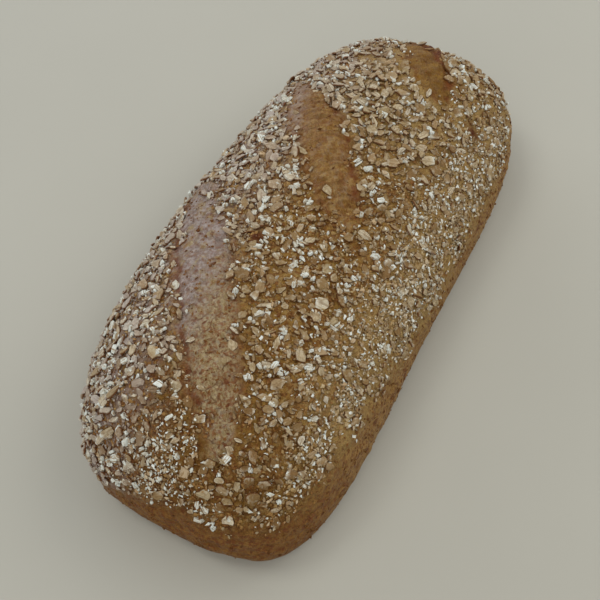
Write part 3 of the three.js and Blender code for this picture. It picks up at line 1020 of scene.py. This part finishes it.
# Clouds on the crust: size in millimetres, the levels of noise between which it fades in, share and colour
CRUST_CLOUDS = [(12.0, 0.42, 0.6, 1.0, (151, 110, 48)), (4.5, 0.48, 0.58, 0.6, (134, 82, 36)),
                (2.6, 0.5, 0.58, 0.55, (190, 160, 106)), (1.9, 0.53, 0.61, 0.7, (90, 52, 18))]
FLANK_CLOUDS = [(5.0, 0.42, 0.6, 1.0, (152, 102, 45)), (1.6, 0.52, 0.6, 0.5, (192, 146, 84)),
                (1.7, 0.52, 0.6, 0.65, (82, 46, 14))]
OCHRE_CLOUDS = [(9.0, 0.42, 0.6, 1.0, (138, 94, 28)), (3.6, 0.48, 0.58, 0.7, (134, 72, 18)),
                (4.2, 0.48, 0.6, 0.6, (198, 166, 112)), (2.9, 0.52, 0.6, 0.5, (164, 144, 126)),
                (1.8, 0.54, 0.6, 0.4, (104, 62, 14))]
BROWN_CLOUDS = [(7.0, 0.42, 0.6, 1.0, (106, 71, 6))]
BEIGE_CLOUDS = [(2.2, 0.42, 0.6, 1.0, (168, 142, 94)), (2.5, 0.5, 0.6, 0.5, (172, 158, 146)),
                (1.3, 0.52, 0.6, 0.6, (150, 112, 66))]
# Grey of flour film and painted sheen of window light
FILM_AND_SHEEN_CLOUDS = [(2.4, 0.44, 0.58, 1.0, (194, 180, 176))]

# Colours of the bits by tone, from dark to light
BRAN_STOPS = [(0.0, (130, 98, 56)), (0.15, (154, 127, 86)), (0.28, (170, 142, 104)),
              (0.4, (168, 148, 110)), (0.52, (179, 153, 118)), (0.66, (182, 164, 129)),
              (0.82, (204, 187, 155)), (1.0, (220, 212, 190))]
SPECK_STOPS = [(0.0, (96, 56, 20)), (0.3, (136, 92, 46)), (0.6, (166, 130, 76)),
               (0.85, (186, 160, 114)), (1.0, (206, 188, 152))]
WHEAT_STOPS = [(0.0, (196, 170, 134)), (0.12, (209, 208, 196)), (0.5, (223, 229, 223)),
               (1.0, (233, 241, 238))]
MEAL_STOPS = [(0.0, (166, 128, 84)), (0.3, (200, 180, 148)), (0.6, (223, 225, 215)),
              (1.0, (233, 239, 236))]


def crust_finish():
    """Baked wholemeal crust: ochre and brown clouds, redder low on the sides, pale or browned beds in the
    cuts with grey flour film and painted sheen of window light, the same grey on the left side, dark edges
    along the cuts, and red-brown bran flecks at two sizes."""
    finish = Finish("crust", 0.5, 0.22)
    low, golden, dark, scorched = finish.attributes("low", "golden", "dark", "scorched")
    opened, rim, film, flecks = finish.attributes("opened", "rim", "film", "flecks")
    pale, browned, along, across = finish.attributes("pale", "browned", "band_along", "band_across")
    crust = finish.painted(
        finish.clouded((174, 134, 67), CRUST_CLOUDS),
        (finish.clouded((177, 127, 62), FLANK_CLOUDS), low),
        ((197, 165, 105), golden, 0.65),
        ((104, 63, 18), dark, 0.34))

    stretch = finish.streaks(along, across, 0.0, 0.16, 0.75)
    stretch_colour = finish.painted((114, 68, 14), ((148, 109, 64), pale))
    fine_stretch = finish.streaks(along, across, 0.3, 0.5, 2.0)
    fine_colour = finish.painted((184, 150, 82), ((206, 184, 146), pale))
    bent = finish.plus(finish.times(along, 0.5), finish.times(across, across, 0.02))
    arcs = finish.streaks(bent, across, 0.6, 1.0, 0.08)
    creases = finish.times(finish.creases(9.0, 0.025), finish.mottle(8.0, 0.46, 0.56),
                           finish.between(pale, 0.4, 1.0))
    bed = finish.painted(
        finish.clouded((164, 122, 54), OCHRE_CLOUDS),
        (finish.clouded((140, 100, 18), BROWN_CLOUDS), browned, 0.85),
        (finish.clouded((198, 178, 138), BEIGE_CLOUDS), pale),
        (stretch_colour, stretch, 0.4),
        ((104, 66, 12), arcs, finish.between(pale, 0.65, 0.0)),
        (fine_colour, fine_stretch, finish.between(pale, 0.2, 0.4)),
        ((124, 74, 34), creases, 0.7))

    large = finish.times(finish.flecks(3.0, 0.35, 0.25), flecks)
    finish.feed("Base Color", finish.painted(
        crust,
        (bed, opened),
        # Grey flour film and painted sheen of window light over the cut beds and the left side
        (finish.clouded((164, 144, 134), FILM_AND_SHEEN_CLOUDS), film, finish.mottle(4.2, 0.34, 0.54)),
        ((116, 54, 14), rim, finish.mottle(6.0, 0.37, 0.54), 0.85),
        ((98, 42, 10), scorched, finish.mottle(2.6, 0.3, 0.5), finish.between(pale, 1.0, 0.25)),
        ((148, 87, 44), finish.mottle(1.7, 0.48, 0.62), flecks, 0.7),
        ((122, 64, 32), large, 0.8),
        ((112, 62, 32), finish.flecks(1.4, 0.3, 0.3), flecks, 0.5)))
    finish.feed("Roughness", finish.between(finish.mottle(2.4, 0.35, 0.65), 0.42, 0.62))

    pits = finish.plus(finish.times(large, -1.0), finish.times(creases, opened, -1.2))
    grain = finish.plus(finish.mottle(0.9, 0.3, 0.7), finish.times(finish.mottle(2.6, 0.3, 0.7), 1.6))
    smooth = finish.times(opened, finish.between(pale, 0.4, 0.0))
    grain = finish.times(grain, finish.between(smooth, 1.0, 0.0))
    finish.bump(finish.plus(grain, pits), 1.0, 0.6)
    return finish.material


def bran_finish():
    """Bran side of wheat flakes: tan to greyish beige from flake to flake, with faint fibres, a crease on
    some, dark walls that are partly toasted and partly painted contact shade, grey flour and painted sheen
    of window light on the left side of the loaf, and floury white where one broke."""
    finish = Finish("bran", 0.6, 0.26)
    tone, rim, floury = finish.attributes("tone", "rim", "floury")
    along, across, film = finish.attributes("along", "across", "film")
    fibres = finish.streaks(along, across, tone, 0.9, 2.8)
    middle = finish.above(finish.math("ABSOLUTE", across), 0.14, 0.04)
    flour = finish.painted((230, 228, 214), ((176, 146, 108), fibres, 0.7))
    finish.feed("Base Color", finish.painted(
        finish.ramp(tone, BRAN_STOPS),
        ((134, 100, 60), fibres, 0.5),
        ((144, 112, 70), finish.mottle(1.6, 0.5, 0.6), 0.45),
        ((122, 82, 46), middle, finish.above(tone, 0.8, 0.84), 0.5),
        # Grey flour and painted sheen of window light on the left side of the loaf
        ((186, 178, 176), film, 0.68),
        ((226, 220, 202), finish.between(rim, 0.0, 0.4), finish.mottle(2.0, 0.52, 0.6)),
        # Dark walls below the rim, partly toasted edges and partly painted contact shade, which the flared
        # foot shows from above
        ((106, 62, 24), finish.above(rim, 1.0, 1.6)),
        (flour, floury)))
    finish.bump(finish.plus(finish.mottle(0.6, 0.3, 0.7), finish.times(fibres, -0.6)), 0.7, 0.25)
    return finish.material


def speck_finish():
    """Bran baked into the crust: red-brown and ochre to tan from bit to bit."""
    finish = Finish("baked_bran", 0.6, 0.2)
    colour = finish.ramp(*finish.attributes("tone"), SPECK_STOPS)
    colour = finish.painted(colour, ((104, 62, 24), finish.mottle(0.9, 0.45, 0.6), 0.35))
    finish.feed("Base Color", colour)
    finish.bump(finish.mottle(0.4, 0.3, 0.7), 0.4, 0.12)
    return finish.material


def wheat_finish():
    """Floury inside of wheat, off-white to cream, with a few bran-brown bits."""
    finish = Finish("wheat", 0.7, 0.25)
    tone, along, across = finish.attributes("tone", "along", "across")
    cracks = finish.above(finish.streaks(along, across, tone, 0.7, 3.4), 0.45, 0.85)
    finish.feed("Base Color", finish.painted(
        finish.ramp(tone, WHEAT_STOPS),
        ((148, 116, 74), cracks, 0.8),
        ((188, 164, 130), finish.mottle(0.8, 0.5, 0.6), 0.35)))
    finish.bump(finish.mottle(0.5, 0.3, 0.7), 0.4, 0.15)
    return finish.material


def meal_finish():
    """Fine meal: white grit with some tan."""
    finish = Finish("meal", 0.75, 0.2)
    finish.feed("Base Color", finish.ramp(*finish.attributes("tone"), MEAL_STOPS))
    finish.bump(finish.mottle(0.3, 0.3, 0.7), 0.3, 0.08)
    return finish.material


def floor_finish():
    """Plain pale floor."""
    finish = Finish("pale_floor", 0.6, 0.3)
    clouds = finish.mottle(300.0, 0.3, 0.7)
    finish.feed("Base Color", finish.painted((186, 185, 176), ((183, 182, 173), clouds)))
    return finish.material


def dress(piece, material):
    """Gives a piece its material, and lets it stand for the loaf's solid."""
    piece.data.materials.append(material)
    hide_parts("loaf")


points, masks = crust_grid()
coat = Coat(points, grid_normals(points))
dress(crust_piece(points, masks), crust_finish())
bran = bran_finish()
dress(bran_flakes(coat), bran)
dress(bran_crumbs(coat), bran)
dress(bran_specks(coat), speck_finish())
dress(cracked_wheat(coat), wheat_finish())
dress(wheat_meal(coat), meal_finish())

# Floor, camera and light, in metres. The camera stands at the picture's viewing angle, and the lights at
# steps up from the floor and towards the right and the top of the picture
FLOOR_SIZE = 6.0
CAMERA_PLACE = np.array([-0.2561, -0.1252, 0.3906])
CAMERA_TARGET = np.array([-0.01, 0.0, 0.0])
CAMERA_LENS = 60.4
CAMERA_SENSOR = 36.0
PICTURE_AXES = np.array([[0.0, 0.0, 1.0], [0.454, -0.891, 0.0], [0.891, 0.454, 0.0]])
LIGHT_TARGET = np.array([0.0, 0.0, 0.03])
WARM = (1.0, 0.98, 0.92)
COOL = (0.92, 0.96, 1.0)
LIGHTS = [
    dict(name="key", steps=(1.4, -0.65, 0.0), size=(0.5, 0.5), watts=3.85, colour=WARM),
    dict(name="near", steps=(0.9, -0.25, -0.9), size=(1.0, 1.0), watts=4.95, colour=WARM),
    dict(name="far", steps=(0.8, 0.7, 0.7), size=(1.0, 1.0), watts=3.75, colour=WARM),
    dict(name="right", steps=(0.9, 0.9, 0.0), size=(1.0, 1.0), watts=3.2, colour=WARM),
    dict(name="window", steps=(0.45, -0.8, 1.25), size=(1.8, 0.7), watts=9.0, colour=COOL),
]
ROOM_COLOUR = (1.0, 1.0, 0.98, 1.0)
ROOM_STRENGTH = 0.3

corners = np.array([[-1, -1, 0], [1, -1, 0], [1, 1, 0], [-1, 1, 0]]) * FLOOR_SIZE / 2
floor_mesh = bpy.data.meshes.new("floor")
floor_mesh.from_pydata(corners.tolist(), [], [(0, 1, 2, 3)])
floor_mesh.materials.append(floor_finish())
floor = bpy.data.objects.new("floor", floor_mesh)
bpy.context.scene.collection.objects.link(floor)


def aimed(thing, place, target):
    """Puts a camera or light at a place, looking at a target, with the world's Z axis up in its picture."""
    back = unit(place - target)
    right = unit(np.cross([0.0, 0.0, 1.0], back))
    turned = np.eye(4)
    turned[:3, :3] = np.stack([right, np.cross(back, right), back], axis=1)
    turned[:3, 3] = place
    thing.matrix_world = turned.T.tolist()
    bpy.context.scene.collection.objects.link(thing)


camera_data = bpy.data.cameras.new("camera")
camera_data.lens = CAMERA_LENS
camera_data.sensor_width = CAMERA_SENSOR
camera = bpy.data.objects.new("camera", camera_data)
aimed(camera, CAMERA_PLACE, CAMERA_TARGET)
bpy.context.scene.camera = camera

for light in LIGHTS:
    light_data = bpy.data.lights.new(light["name"], "AREA")
    light_data.shape = "RECTANGLE"
    light_data.size, light_data.size_y = light["size"]
    light_data.energy = light["watts"]
    light_data.color = light["colour"]
    place = np.array(light["steps"]) @ PICTURE_AXES
    aimed(bpy.data.objects.new(light["name"], light_data), place, LIGHT_TARGET)

world = bpy.data.worlds.new("soft_room")
world.use_nodes = True
background = world.node_tree.nodes["Background"]
background.inputs["Color"].default_value = ROOM_COLOUR
background.inputs["Strength"].default_value = ROOM_STRENGTH
bpy.context.scene.world = world
bpy.context.scene.view_settings.view_transform = "Standard"
